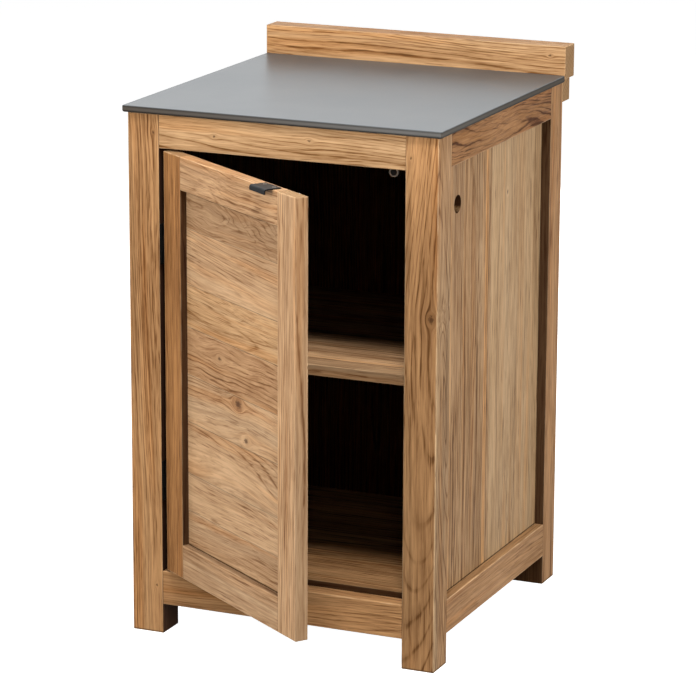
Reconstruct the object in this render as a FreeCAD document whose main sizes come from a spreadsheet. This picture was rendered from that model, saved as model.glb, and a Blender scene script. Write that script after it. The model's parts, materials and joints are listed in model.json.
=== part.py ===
import FreeCAD, Part
import os
import re

import Sketcher

# A one-door teak cabinet with a stone-grey worktop and a splash board.
# X runs to the right, Y to the back and Z up. The door stands ajar.

driving_sizes = {
    # carcass
    "carcass_width": 580,
    "carcass_depth": 598,
    "post_side": 60,
    "post_height": 941,
    "top_rail_height": 60,
    "bottom_rail_height": 62,
    "leg_clearance": 54,
    "arris_radius": 1.5,
    # joinery
    "tenon_length": 25,
    "tenon_thickness": 14,
    "tenon_shoulder": 10,
    "tenon_end_gap": 1,
    "tenon_fit": 0.1,
    "panel_recess": 16.5,
    "panel_thickness": 14,
    "groove_depth": 8,
    "groove_fit": 0.1,
    "panel_end_gap": 1,
    "board_chamfer": 0.6,
    # side boards, front to back, eased to fill the space between the posts
    "side_board_one": 99,
    "side_board_two": 133,
    "side_board_three": 133,
    "side_board_four": 113,
    "cable_hole_radius": 15.5,
    "cable_hole_from_post": 68.5,
    "cable_hole_drop": 78,
    # shelf and floor
    "shelf_top": 518.5,
    "shelf_thickness": 20,
    "shelf_door_gap": 4,
    "floor_top": 125.5,
    "floor_thickness": 20,
    "floor_front_gap": 2,
    "panel_fit": 0.5,
    "cleat_width": 20,
    "cleat_height": 22,
    # worktop and splash board
    "overhang_side": 8,
    "overhang_front": 8,
    "worktop_rear_setback": 10,
    "worktop_thickness": 12,
    "worktop_corner_radius": 4.5,
    "worktop_top_round": 2,
    "worktop_bottom_round": 3.5,
    "splash_height": 60,
    "splash_depth": 46,
    "splash_lift": 5,
    "batten_height": 44,
    # door
    "door_open_angle": 35.3,
    "door_thickness": 24,
    "door_setback": 4,
    "hinge_gap": 5,
    "free_gap": 3,
    "door_top_gap": 4,
    "door_bottom_gap": 3,
    "stile_width": 60,
    "door_top_rail_height": 59,
    "door_bottom_rail_height": 62,
    "door_tenon_length": 30,
    "door_tenon_thickness": 8,
    "door_tenon_recess": 8,
    "door_panel_recess": 11,
    "door_panel_thickness": 9,
    # door boards, bottom to top, eased to fill the space between the rails
    "door_board_one": 64,
    "door_board_two": 68,
    "door_board_three": 94,
    "door_board_four": 84.5,
    "door_board_five": 85.5,
    "door_board_six": 75.5,
    "door_board_seven": 98.5,
    "door_board_eight": 67,
    # hinges
    "hinge_height": 70,
    "hinge_end_distance": 130,
    "leaf_thickness": 2,
    "leaf_depth": 20,
    "knuckle_radius": 2.2,
    "knuckle_proud": 0.5,
    "knuckle_gap": 0.2,
    "leaf_clearance": 0.5,
    "pin_radius": 1.2,
    "pin_fit": 0.05,
    "pin_overrun": 1,
    # catch and strike
    "catch_from_post": 34,
    "catch_drop": 11,
    "cup_radius": 8.5,
    "cup_wall": 2.4,
    "cup_depth": 3.7,
    "cup_floor": 1,
    "magnet_recess": 0.8,
    "magnet_fit": 0.05,
    "catch_air_gap": 0.3,
    "catch_plate_width": 20,
    "catch_plate_thickness": 2,
    "catch_plate_rise": 26,
    "catch_plate_corner": 4,
    "strike_radius": 6.5,
    "strike_thickness": 2,
    # pull
    "pull_width": 50,
    "pull_from_free_edge": 74,
    "pull_thickness": 2,
    "pull_landing": 16,
    "pull_reach": 16,
    "pull_lip_height": 9,
    "pull_bend_radius": 4,
    # screws
    "small_screw_radius": 1.75,
    "small_head_radius": 3.5,
    "small_head_height": 1.9,
    "small_screw_length": 16,
    "cleat_screw_radius": 2,
    "cleat_head_radius": 4,
    "cleat_head_height": 2.2,
    "cleat_screw_length": 28,
    "long_screw_radius": 2.5,
    "long_head_radius": 5,
    "long_head_height": 2.7,
    "long_screw_length": 62,
    "screw_fit": 0.05,
    "socket_share": 0.55,
    "leaf_screw_pitch": 22,
    "plate_screw_pitch": 12,
    "pull_screw_pitch": 30,
    "cleat_screw_end": 50,
    "batten_screw_inset": 29,
    "batten_screw_pitch": 22,
    "splash_screw_pitch": 230,
}

# Places and lengths that follow from the driving sizes
derived_sizes = {
    "half_width": "carcass_width / 2",
    "opening_width": "carcass_width - 2 * post_side",
    "side_span": "carcass_depth - 2 * post_side",
    "door_back": "door_setback + door_thickness",
    "cup_front": "door_back + strike_thickness + catch_air_gap",
    "rail_depth": "cup_front + cup_depth",
    "bottom_rail_top": "leg_clearance + bottom_rail_height",
    "top_rail_under": "post_height - top_rail_height",
    "shelf_front": "door_back + shelf_door_gap",
    "panel_inner": "half_width - panel_recess - panel_thickness",
    "groove_width": "panel_thickness + 2 * groove_fit",
    "groove_recess": "panel_recess - groove_fit",
    "groove_bite": "groove_depth - panel_end_gap",
    "panel_bottom": "bottom_rail_top - groove_bite",
    "panel_height": "top_rail_under + groove_bite - panel_bottom",
    "back_panel_front": "carcass_depth - panel_recess - panel_thickness",
    "worktop_rear": "carcass_depth - worktop_rear_setback",
    "worktop_depth": "worktop_rear + overhang_front",
    "worktop_width": "carcass_width + 2 * overhang_side",
    "splash_rear": "worktop_rear + splash_depth",
    "splash_bottom": "post_height + splash_lift",
    "batten_depth": "splash_depth - worktop_rear_setback",
    "door_left": "post_side + hinge_gap - half_width",
    "door_width": "opening_width - hinge_gap - free_gap",
    "door_bottom": "bottom_rail_top + door_bottom_gap",
    "door_top": "top_rail_under - door_top_gap",
    "door_height": "door_top - door_bottom",
    "door_rail_length": "door_width - 2 * stile_width",
    "door_board_bottom": "door_bottom + door_bottom_rail_height - groove_bite",
    "door_board_top": "door_top - door_top_rail_height + groove_bite",
    "door_groove_width": "door_panel_thickness + 2 * groove_fit",
    "door_groove_recess": "door_panel_recess - groove_fit",
    "pin_x": "post_side + hinge_gap / 2 - half_width",
    "pin_y": "-knuckle_proud",
    "swing_sine": "sin(door_open_angle * 1 deg)",
    "swing_cosine": "cos(door_open_angle * 1 deg)",
    "free_corner_x": "door_left + door_width - arris_radius - pin_x",
    "free_corner_y": "door_setback + arris_radius - pin_y",
    "front_reach": "pin_y - free_corner_x * swing_sine + free_corner_y * swing_cosine - arris_radius",
    "middle_y": "(splash_rear + front_reach) / 2",
}

os.makedirs("parts", exist_ok=True)
doc = FreeCAD.newDocument("GrillCabinet")
sheet = doc.addObject("Spreadsheet::Sheet", "Sizes")
for row, (name, value) in enumerate(driving_sizes.items(), start=1):
    sheet.set(f"A{row}", name)
    sheet.set(f"B{row}", str(value))
    sheet.setAlias(f"B{row}", name)
doc.recompute()

nodes = []
place_of = {}


def formula(text):
    # a driving size is read from the sheet, and a derived size is written out in full
    def written_out(word):
        name = word.group()
        if name in derived_sizes:
            return f"({formula(derived_sizes[name])})"
        return "Sizes." + name if name in driving_sizes else name

    return re.sub(r"[a-z_]+", written_out, text)


def bind(thing, **values):
    for prop, text in values.items():
        thing.setExpression(prop, formula(str(text)))


def place(thing, x, y, z, swings=False):
    # the place is written with the door shut, and what swings is then turned about the hinge pins
    place_of[thing.Name] = (x, y, z)
    base = f"vector({x}; {y} - middle_y; {z})"
    if swings:
        turn = "rotation(vector(0; 0; 1); -door_open_angle)"
        centre = f"vector(pin_x - ({x}); pin_y - ({y}); 0)"
        thing.setExpression("Placement", formula(f"placement({base}; {turn}; {centre})"))
    else:
        thing.setExpression("Placement", formula(f"placement({base}; rotation(vector(0; 0; 1); 0))"))


def local(thing, x, y, z):
    ox, oy, oz = place_of[thing.Name]
    return f"({x}) - ({ox})", f"({y}) - ({oy})", f"({z}) - ({oz})"


def plane_of(body, role):
    return [feature for feature in body.Origin.OriginFeatures if feature.Role == role][0]


def edges_along(shape, axes):
    found = []
    for number, edge in enumerate(shape.Edges, start=1):
        if edge.Curve.TypeId != "Part::GeomLine":
            continue
        way = edge.tangentAt(edge.FirstParameter)
        if any(abs(getattr(way, axis)) > 0.99 for axis in axes):
            found.append(f"Edge{number}")
    return found


def edges_at_height(shape, height):
    found = []
    for number, edge in enumerate(shape.Edges, start=1):
        if all(abs(vertex.Z - height) < 1e-6 for vertex in edge.Vertexes):
            found.append(f"Edge{number}")
    return found


def rectangle(body, name, width, depth):
    sketch = body.newObject("Sketcher::SketchObject", name)
    sketch.AttachmentSupport = [(plane_of(body, "XY_Plane"), "")]
    sketch.MapMode = "FlatFace"
    start_side = 10
    corners = [(0, 0), (start_side, 0), (start_side, start_side), (0, start_side)]
    for here, (x, y) in enumerate(corners):
        next_x, next_y = corners[(here + 1) % 4]
        line = Part.LineSegment(FreeCAD.Vector(x, y, 0), FreeCAD.Vector(next_x, next_y, 0))
        sketch.addGeometry(line, False)
    for here in range(4):
        sketch.addConstraint(Sketcher.Constraint("Coincident", here, 2, (here + 1) % 4, 1))
    for here in (0, 2):
        sketch.addConstraint(Sketcher.Constraint("Horizontal", here))
    for here in (1, 3):
        sketch.addConstraint(Sketcher.Constraint("Vertical", here))
    sketch.addConstraint(Sketcher.Constraint("Coincident", 0, 1, -1, 1))
    for label, line, kind, size in (("width", 0, "DistanceX", width), ("depth", 1, "DistanceY", depth)):
        number = sketch.addConstraint(Sketcher.Constraint(kind, line, 1, line, 2, float(start_side)))
        sketch.renameConstraint(number, label)
        sketch.setExpression("Constraints." + label, formula(size))
    return sketch


def bar(name, width, depth, height, rounded="", chamfered="", x="0", y="0", z="0", swings=False):
    # a squared piece of wood, stone or metal, with its own corner at the given place
    body = doc.addObject("PartDesign::Body", name)
    body.Label = name
    nodes.append(body)
    blank = body.newObject("PartDesign::AdditiveBox", name + "_blank")
    bind(blank, Length=width, Width=depth, Height=height)
    doc.recompute()
    if rounded:
        fillet = body.newObject("PartDesign::Fillet", name + "_arrises")
        fillet.Base = (blank, edges_along(blank.Shape, rounded))
        bind(fillet, Radius="arris_radius")
    if chamfered:
        chamfer = body.newObject("PartDesign::Chamfer", name + "_chamfer")
        chamfer.Base = (blank, edges_along(blank.Shape, chamfered))
        bind(chamfer, Size="board_chamfer")
    place(body, x, y, z, swings)
    return body


def box_feature(body, kind, name, x, y, z, width, depth, height):
    feature = body.newObject("PartDesign::" + kind, f"{body.Name}_{name}")
    bind(feature, Length=width, Width=depth, Height=height)
    for axis, text in (("x", x), ("y", y), ("z", z)):
        feature.setExpression("Placement.Base." + axis, formula(text))
    return feature


def cut_box(body, name, x, y, z, width, depth, height):
    return box_feature(body, "SubtractiveBox", name, x, y, z, width, depth, height)


def add_box(body, name, x, y, z, width, depth, height):
    return box_feature(body, "AdditiveBox", name, x, y, z, width, depth, height)


# the turn that points a round feature along each way
turns = {
    "x": ((0, 1, 0), 90),
    "y": ((1, 0, 0), -90),
    "z": ((0, 0, 1), 0),
    "-x": ((0, 1, 0), -90),
    "-y": ((1, 0, 0), 90),
    "-z": ((1, 0, 0), 180),
}


def point_round(feature, body, way, x, y, z):
    axis, angle = turns[way]
    feature.Placement = FreeCAD.Placement(FreeCAD.Vector(), FreeCAD.Rotation(FreeCAD.Vector(*axis), angle))
    for axis_name, text in zip("xyz", local(body, x, y, z)):
        feature.setExpression("Placement.Base." + axis_name, formula(text))


def drill(body, name, way, x, y, z, radius, depth):
    # a round hole from a point in the cabinet, along the given way
    hole = body.newObject("PartDesign::SubtractiveCylinder", f"{body.Name}_{name}")
    bind(hole, Radius=radius, Height=depth)
    point_round(hole, body, way, x, y, z)


def countersink(body, name, way, x, y, z, kind):
    cone = body.newObject("PartDesign::SubtractiveCone", f"{body.Name}_{name}")
    bind(cone, Radius1=f"{kind}_head_radius + screw_fit", Radius2=f"{kind}_screw_radius + screw_fit",
         Height=f"{kind}_head_height")
    point_round(cone, body, way, x, y, z)


def add_disc(body, name, way, x, y, z, radius, depth):
    disc = body.newObject("PartDesign::AdditiveCylinder", f"{body.Name}_{name}")
    bind(disc, Radius=radius, Height=depth)
    point_round(disc, body, way, x, y, z)


screw_groups = {}


def screw(group, number, kind, way, x, y, z, held, swings=False):
    # a countersunk screw whose head lies flush in the first piece that it holds
    name = f"{group}_{number}"
    shank = doc.addObject("Part::Cylinder", name + "_shank")
    bind(shank, Radius=f"{kind}_screw_radius", Height=f"{kind}_screw_length")
    head = doc.addObject("Part::Cone", name + "_head")
    bind(head, Radius1=f"{kind}_head_radius", Radius2=f"{kind}_screw_radius", Height=f"{kind}_head_height")
    blank = doc.addObject("Part::Fuse", name + "_blank")
    blank.Base = shank
    blank.Tool = head
    socket = doc.addObject("Part::Prism", name + "_socket")
    socket.Polygon = 6
    bind(socket, Circumradius=f"{kind}_head_radius * socket_share",
         Height=f"{kind}_head_height * socket_share")
    made = doc.addObject("Part::Cut", name)
    made.Base = blank
    made.Tool = socket
    axis, angle = turns[way]
    spin = f"rotation(vector({axis[0]}; {axis[1]}; {axis[2]}); {angle})"
    stand = f"placement(vector({x}; {y} - middle_y; {z}); {spin})"
    if swings:
        turn = "rotation(vector(0; 0; 1); -door_open_angle)"
        centre = "vector(pin_x; pin_y - middle_y; 0)"
        stand = f"placement(vector(0; 0; 0); {turn}; {centre}) * {stand}"
    made.setExpression("Placement", formula(stand))
    for order, body in enumerate(held):
        if order == 0:
            countersink(body, f"sink_{name}", way, x, y, z, kind)
        drill(body, f"pilot_{name}", way, x, y, z, f"{kind}_screw_radius + screw_fit",
              f"{kind}_screw_length")
    screw_groups.setdefault(group, []).append(made)


def make_posts():
    posts = {}
    for side in ("left", "right"):
        for end in ("front", "rear"):
            x = "-half_width" if side == "left" else "half_width - post_side"
            y = "0" if end == "front" else "carcass_depth - post_side"
            post = bar(f"{end}_{side}_post", "post_side", "post_side", "post_height", rounded="z",
                       x=x, y=y)
            deep = "tenon_length + tenon_end_gap"
            thick = "tenon_thickness + 2 * tenon_fit"
            near = "(rail_depth - tenon_thickness) / 2 - tenon_fit"
            far = f"post_side - ({near}) - ({thick})"
            inner_x = f"post_side - ({deep})" if side == "left" else "0"
            inner_y = f"post_side - ({deep})" if end == "front" else "0"
            across_x = near if side == "left" else far
            across_y = near if end == "front" else far
            for level, low, high in (("low", "leg_clearance", "bottom_rail_top"),
                                     ("high", "top_rail_under", "post_height")):
                base = f"{low} + tenon_shoulder - tenon_fit"
                tall = f"{high} - {low} - 2 * tenon_shoulder + 2 * tenon_fit"
                cut_box(post, f"{level}_mortise_x", inner_x, across_y, base, deep, thick, tall)
                cut_box(post, f"{level}_mortise_y", across_x, inner_y, base, thick, deep, tall)
            groove_x = "groove_recess" if side == "left" else "post_side - groove_recess - groove_width"
            groove_y = "post_side - groove_depth" if end == "front" else "0"
            low = "bottom_rail_top - groove_depth"
            tall = "top_rail_under - bottom_rail_top + 2 * groove_depth"
            cut_box(post, "side_groove", groove_x, groove_y, low, "groove_width", "groove_depth", tall)
            if end == "rear":
                back_x = "post_side - groove_depth" if side == "left" else "0"
                back_y = "post_side - groove_recess - groove_width"
                cut_box(post, "back_groove", back_x, back_y, low, "groove_depth", "groove_width", tall)
            posts[end, side] = post
    return posts


def make_rails():
    rails = {}
    levels = {"top": ("top_rail_height", "top_rail_under"),
              "bottom": ("bottom_rail_height", "leg_clearance")}
    tenon_in = "(rail_depth - tenon_thickness) / 2"
    for level, (height, z) in levels.items():
        tenon_tall = f"{height} - 2 * tenon_shoulder"
        groove_z = "0" if level == "top" else f"{height} - groove_depth"
        for end in ("front", "rear"):
            y = "0" if end == "front" else "carcass_depth - rail_depth"
            rail = bar(f"{end}_{level}_rail", "opening_width", "rail_depth", height, rounded="x",
                       x="-opening_width / 2", y=y, z=z)
            add_box(rail, "tenons", "-tenon_length", tenon_in, "tenon_shoulder",
                    "opening_width + 2 * tenon_length", "tenon_thickness", tenon_tall)
            if end == "rear":
                groove_y = "rail_depth - groove_recess - groove_width"
                cut_box(rail, "groove", "0", groove_y, groove_z, "opening_width", "groove_width",
                        "groove_depth")
            rails[end, level] = rail
        for side in ("left", "right"):
            x = "-half_width" if side == "left" else "half_width - rail_depth"
            rail = bar(f"{side}_{level}_rail", "rail_depth", "side_span", height, rounded="y",
                       x=x, y="post_side", z=z)
            add_box(rail, "tenons", tenon_in, "-tenon_length", "tenon_shoulder",
                    "tenon_thickness", "side_span + 2 * tenon_length", tenon_tall)
            groove_x = "groove_recess" if side == "left" else "rail_depth - groove_recess - groove_width"
            cut_box(rail, "groove", groove_x, "0", groove_z, "groove_width", "side_span", "groove_depth")
            rails[side, level] = rail
    return rails


def shared_edges(start, span, widths):
    # the joints between boards that fill a span, each board in proportion to its own width
    total = " + ".join(widths)
    return [f"({start} + {span} * ({' + '.join(widths[:count])}) / ({total}))"
            for count in range(1, len(widths))]


side_board_widths = ["side_board_one", "side_board_two", "side_board_three", "side_board_four"]
side_joints = shared_edges("post_side", "side_span", side_board_widths)


def make_side_boards():
    boards = {}
    edges = ["(post_side - groove_bite)", *side_joints, "(carcass_depth - post_side + groove_bite)"]
    for side in ("left", "right"):
        x = "panel_recess - half_width" if side == "left" else "panel_inner"
        for number in range(len(side_board_widths)):
            boards[side, number] = bar(f"{side}_side_board_{number + 1}", "panel_thickness",
                                       f"{edges[number + 1]} - {edges[number]}", "panel_height",
                                       chamfered="z", x=x, y=edges[number], z="panel_bottom")
    drill(boards["right", 0], "cable_hole", "x", "panel_inner", "post_side + cable_hole_from_post",
          "top_rail_under - cable_hole_drop", "cable_hole_radius", "panel_thickness")
    return boards


def make_back_panel():
    return bar("back_panel", "opening_width + 2 * groove_bite", "panel_thickness", "panel_height",
               x="-opening_width / 2 - groove_bite", y="back_panel_front", z="panel_bottom")


def notch_corners(panel, x, y, width, depth, thickness):
    # clears the four posts at the corners of a panel whose own corner is at x and y
    side_notch = f"({x}) + half_width - post_side - panel_fit"
    front_notch = f"post_side + panel_fit - ({y})"
    rear_notch = f"({y}) + ({depth}) - carcass_depth + post_side + panel_fit"
    cut_depth = {"front": front_notch, "rear": rear_notch}
    cut_width = f"-({side_notch})"
    for end in ("front", "rear"):
        at_y = "0" if end == "front" else f"({depth}) - ({rear_notch})"
        for side in ("left", "right"):
            at_x = "0" if side == "left" else f"({width}) - ({cut_width})"
            cut_box(panel, f"{end}_{side}_notch", at_x, at_y, "0", cut_width, cut_depth[end], thickness)


def make_shelf_and_floor():
    x = "panel_fit - panel_inner"
    y = "shelf_front"
    width = "2 * panel_inner - 2 * panel_fit"
    depth = "back_panel_front - panel_fit - shelf_front"
    shelf = bar("shelf_panel", width, depth, "shelf_thickness", rounded="x", x=x, y=y,
                z="shelf_top - shelf_thickness")
    notch_corners(shelf, x, y, width, depth, "shelf_thickness")
    x = "rail_depth + panel_fit - half_width"
    y = "rail_depth + floor_front_gap"
    width = "carcass_width - 2 * rail_depth - 2 * panel_fit"
    depth = f"carcass_depth - rail_depth - panel_fit - ({y})"
    floor = bar("floor_panel", width, depth, "floor_thickness", rounded="x", x=x, y=y,
                z="floor_top - floor_thickness")
    notch_corners(floor, x, y, width, depth, "floor_thickness")


def make_cleats(boards, rails):
    number = 0
    levels = {"shelf": ("shelf_top - shelf_thickness", "panel_inner"),
              "floor": ("floor_top - floor_thickness", "(half_width - rail_depth)")}
    for level, (top, wall) in levels.items():
        z = f"{top} - cleat_height"
        for side in ("left", "right"):
            x = f"-{wall}" if side == "left" else f"{wall} - cleat_width"
            cleat = bar(f"{side}_{level}_cleat", "cleat_width", "side_span", "cleat_height", chamfered="y",
                        x=x, y="post_side", z=z)
            way = "-x" if side == "left" else "x"
            head_x = f"cleat_width - {wall}" if side == "left" else x
            middle = f"({side_joints[0]} + {side_joints[1]}) / 2"
            places = ("post_side + cleat_screw_end", middle, "carcass_depth - post_side - cleat_screw_end")
            for place_number, head_y in enumerate(places):
                board = boards[side, (0, 1, 3)[place_number]]
                behind = board if level == "shelf" else rails[side, "bottom"]
                number += 1
                screw("cleat_screws", number, "cleat", way, head_x, head_y, f"{z} + cleat_height / 2",
                      [cleat, behind])


def make_worktop():
    body = doc.addObject("PartDesign::Body", "worktop_slab")
    nodes.append(body)
    pad = body.newObject("PartDesign::Pad", "worktop_pad")
    pad.Profile = rectangle(body, "worktop_outline", "worktop_width", "worktop_depth")
    bind(pad, Length="worktop_thickness")
    doc.recompute()
    last = pad
    for word, height, radius in (("corners", None, "worktop_corner_radius"),
                                 ("upper_edge", sheet.worktop_thickness, "worktop_top_round"),
                                 ("lower_edge", 0, "worktop_bottom_round")):
        shape = last.Shape
        edges = edges_along(shape, "z") if height is None else edges_at_height(shape, height)
        rounding = body.newObject("PartDesign::Fillet", "worktop_" + word)
        rounding.Base = (last, edges)
        bind(rounding, Radius=radius)
        doc.recompute()
        last = rounding
    place(body, "-worktop_width / 2", "-overhang_front", "post_height")


def make_splash(posts):
    splash = bar("splash_board", "worktop_width", "splash_depth", "splash_height", rounded="xyz",
                 x="-worktop_width / 2", y="worktop_rear", z="splash_bottom")
    batten = bar("splash_batten", "carcass_width", "batten_depth", "batten_height", rounded="xyz",
                 x="-half_width", y="carcass_depth", z="splash_bottom - batten_height")
    number = 0
    middle_z = "splash_bottom - batten_height / 2"
    for side, way in (("left", -1), ("right", 1)):
        for step in (-0.5, 0.5):
            number += 1
            x = f"{way} * (half_width - batten_screw_inset)"
            z = f"{middle_z} + {step} * batten_screw_pitch"
            screw("splash_screws", number, "long", "-y", x, "splash_rear", z, [batten, posts["rear", side]])
    for step in (-1, 0, 1):
        number += 1
        screw("splash_screws", number, "long", "z", f"{step} * splash_screw_pitch",
              "carcass_depth + batten_depth / 2", "splash_bottom - batten_height", [batten, splash])


def make_door():
    pieces = {}
    tenon_deep = "door_tenon_length + tenon_end_gap"
    tenon_thick = "door_tenon_thickness + 2 * tenon_fit"
    tenon_y = "door_tenon_recess - tenon_fit"
    for name, x in (("door_hinge_stile", "door_left"),
                    ("door_free_stile", "door_left + door_width - stile_width")):
        stile = bar(name, "stile_width", "door_thickness", "door_height", rounded="xyz",
                    x=x, y="door_setback", z="door_bottom", swings=True)
        inner = f"stile_width - ({tenon_deep})" if name == "door_hinge_stile" else "0"
        groove_x = "stile_width - groove_depth" if name == "door_hinge_stile" else "0"
        for level, low, rail in (("low", "0", "door_bottom_rail_height"),
                                 ("high", "door_height - door_top_rail_height", "door_top_rail_height")):
            cut_box(stile, f"{level}_mortise", inner, tenon_y, f"{low} + tenon_shoulder - tenon_fit",
                    tenon_deep, tenon_thick, f"{rail} - 2 * tenon_shoulder + 2 * tenon_fit")
        cut_box(stile, "groove", groove_x, "door_groove_recess", "door_bottom_rail_height - groove_depth",
                "groove_depth", "door_groove_width",
                "door_height - door_bottom_rail_height - door_top_rail_height + 2 * groove_depth")
        pieces[name] = stile
    for name, height, z in (("door_bottom_rail", "door_bottom_rail_height", "door_bottom"),
                            ("door_top_rail", "door_top_rail_height",
                             "door_top - door_top_rail_height")):
        rail = bar(name, "door_rail_length", "door_thickness", height, rounded="x",
                   x="door_left + stile_width", y="door_setback", z=z, swings=True)
        add_box(rail, "tenons", "-door_tenon_length", "door_tenon_recess", "tenon_shoulder",
                "door_rail_length + 2 * door_tenon_length", "door_tenon_thickness",
                f"{height} - 2 * tenon_shoulder")
        groove_z = "0" if name == "door_top_rail" else f"{height} - groove_depth"
        cut_box(rail, "groove", "0", "door_groove_recess", groove_z, "door_rail_length",
                "door_groove_width", "groove_depth")
        pieces[name] = rail
    widths = [f"door_board_{word}" for word in ("one", "two", "three", "four", "five", "six", "seven",
                                                "eight")]
    sight_height = "(door_height - door_bottom_rail_height - door_top_rail_height)"
    joints = shared_edges("door_bottom + door_bottom_rail_height", sight_height, widths)
    edges = ["door_board_bottom", *joints, "door_board_top"]
    for number in range(len(edges) - 1):
        bar(f"door_panel_board_{number + 1}", "door_rail_length + 2 * groove_bite",
            "door_panel_thickness", f"{edges[number + 1]} - {edges[number]}", chamfered="x",
            x="door_left + stile_width - groove_bite", y="door_setback + door_panel_recess",
            z=edges[number], swings=True)
    return pieces


def make_hinge(level, centre, post, stile, first_screw):
    # a butt hinge of three knuckles, its leaves on the post and on the edge of the door
    third = "(hinge_height / 3)"
    low = f"{centre} - hinge_height / 2"
    plate_front = "(pin_y + knuckle_radius + leaf_clearance)"
    leaves = {"frame": ("post_side - half_width", (0, 2), "-x", post),
              "door": ("door_left - leaf_thickness", (1,), "x", stile)}
    for word, (x, knuckles, way, wood) in leaves.items():
        swings = word == "door"
        name = f"hinge_{level}_{word}_leaf"
        leaf = bar(name, "leaf_thickness", "leaf_depth", "hinge_height", x=x, y=plate_front, z=low,
                   swings=swings)
        for number in knuckles:
            base = f"{number} * {third} + knuckle_gap / 2"
            tall = f"{third} - knuckle_gap"
            add_box(leaf, f"tab_{number}", "0", f"pin_y - {plate_front}", base, "leaf_thickness",
                    f"{plate_front} - pin_y", tall)
            add_disc(leaf, f"knuckle_{number}", "z", "pin_x", "pin_y", f"{low} + {base}", "knuckle_radius",
                     tall)
        drill(leaf, "bore", "z", "pin_x", "pin_y", low, "pin_radius + pin_fit", "hinge_height")
        head_x = f"{x} + leaf_thickness" if way == "-x" else x
        group = "door_screws" if swings else "frame_screws"
        for step in (-1, 0, 1):
            number = first_screw + step + 1
            screw(group, number, "small", way, head_x, f"{plate_front} + leaf_depth / 2",
                  f"{centre} + {step} * leaf_screw_pitch", [leaf, wood], swings)


def make_hinge_pins(centres):
    pins = []
    for number, centre in enumerate(centres):
        pin = doc.addObject("Part::Cylinder", f"hinge_pin_{number + 1}")
        bind(pin, Radius="pin_radius", Height="hinge_height + 2 * pin_overrun")
        place(pin, "pin_x", "pin_y", f"{centre} - hinge_height / 2 - pin_overrun")
        pins.append(pin)
    gather("hinge_pins", pins)


def make_catch(rail, stile):
    catch_x = "(half_width - post_side - catch_from_post)"
    catch_z = "(top_rail_under - catch_drop)"
    plate_low = f"({catch_z} - cup_radius)"
    plate = bar("catch_plate", "catch_plate_width", "catch_plate_thickness",
                f"top_rail_under + catch_plate_rise - {plate_low}", x=f"{catch_x} - catch_plate_width / 2",
                y="rail_depth", z=plate_low)
    blank = plate.Tip
    corners = plate.newObject("PartDesign::Fillet", "catch_plate_corners")
    corners.Base = (blank, edges_along(blank.Shape, "y"))
    bind(corners, Radius="catch_plate_corner")
    cup = doc.addObject("PartDesign::Body", "catch_cup")
    nodes.append(cup)
    place(cup, catch_x, "cup_front", catch_z)
    add_disc(cup, "blank", "y", catch_x, "cup_front", catch_z, "cup_radius", "cup_depth")
    drill(cup, "recess", "y", catch_x, "cup_front", catch_z, "cup_radius - cup_wall",
          "cup_depth - cup_floor")
    magnet = doc.addObject("Part::Cylinder", "catch_magnet")
    nodes.append(magnet)
    bind(magnet, Radius="cup_radius - cup_wall - magnet_fit",
         Height="cup_depth - cup_floor - magnet_recess")
    magnet.setExpression("Placement", formula(
        f"placement(vector({catch_x}; cup_front + magnet_recess - middle_y; {catch_z});"
        " rotation(vector(1; 0; 0); -90))"))
    for step in (0, 1):
        screw("frame_screws", 7 + step, "small", "-y", catch_x, "rail_depth + catch_plate_thickness",
              f"top_rail_under + catch_plate_rise / 2 + {step - 0.5} * plate_screw_pitch", [plate, rail])
    strike = doc.addObject("PartDesign::Body", "door_strike")
    nodes.append(strike)
    place(strike, catch_x, "door_back", catch_z, swings=True)
    add_disc(strike, "disc", "y", catch_x, "door_back", catch_z, "strike_radius", "strike_thickness")
    screw("door_screws", 9, "small", "-y", catch_x, "door_back + strike_thickness", catch_z,
          [strike, stile], swings=True)


def make_pull(rail):
    # a folded plate on the top edge of the door, with a lip turned down in front
    x = "(door_left + door_width - pull_from_free_edge - pull_width)"
    y = "(door_setback - pull_reach)"
    pull = bar("door_pull", "pull_width", "pull_reach + pull_landing", "pull_thickness", x=x, y=y,
               z="door_top", swings=True)
    lip = add_box(pull, "lip", "0", "0", "pull_thickness - pull_lip_height", "pull_width",
                  "pull_thickness", "pull_lip_height")
    doc.recompute()
    bends = {"outer": ("0", "pull_thickness", "pull_bend_radius"),
             "inner": ("pull_thickness", "0", "pull_bend_radius - pull_thickness")}
    last = lip
    for word, (at_y, at_z, radius) in bends.items():
        y_value = 0 if at_y == "0" else sheet.pull_thickness
        z_value = 0 if at_z == "0" else sheet.pull_thickness
        chosen = []
        for number, edge in enumerate(last.Shape.Edges, start=1):
            if all(abs(v.Y - y_value) < 1e-6 and abs(v.Z - z_value) < 1e-6 for v in edge.Vertexes):
                chosen.append(f"Edge{number}")
        bend = pull.newObject("PartDesign::Fillet", f"door_pull_{word}_bend")
        bend.Base = (last, chosen)
        bind(bend, Radius=radius)
        doc.recompute()
        last = bend
    for step in (0, 1):
        screw("door_screws", 7 + step, "small", "-z",
              f"{x} + pull_width / 2 + {step - 0.5} * pull_screw_pitch",
              "door_setback + pull_landing / 2", "door_top + pull_thickness", [pull, rail], swings=True)


def gather(name, solids):
    group = doc.addObject("Part::Compound", name)
    group.Label = name
    group.Links = solids
    nodes.append(group)


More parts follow.
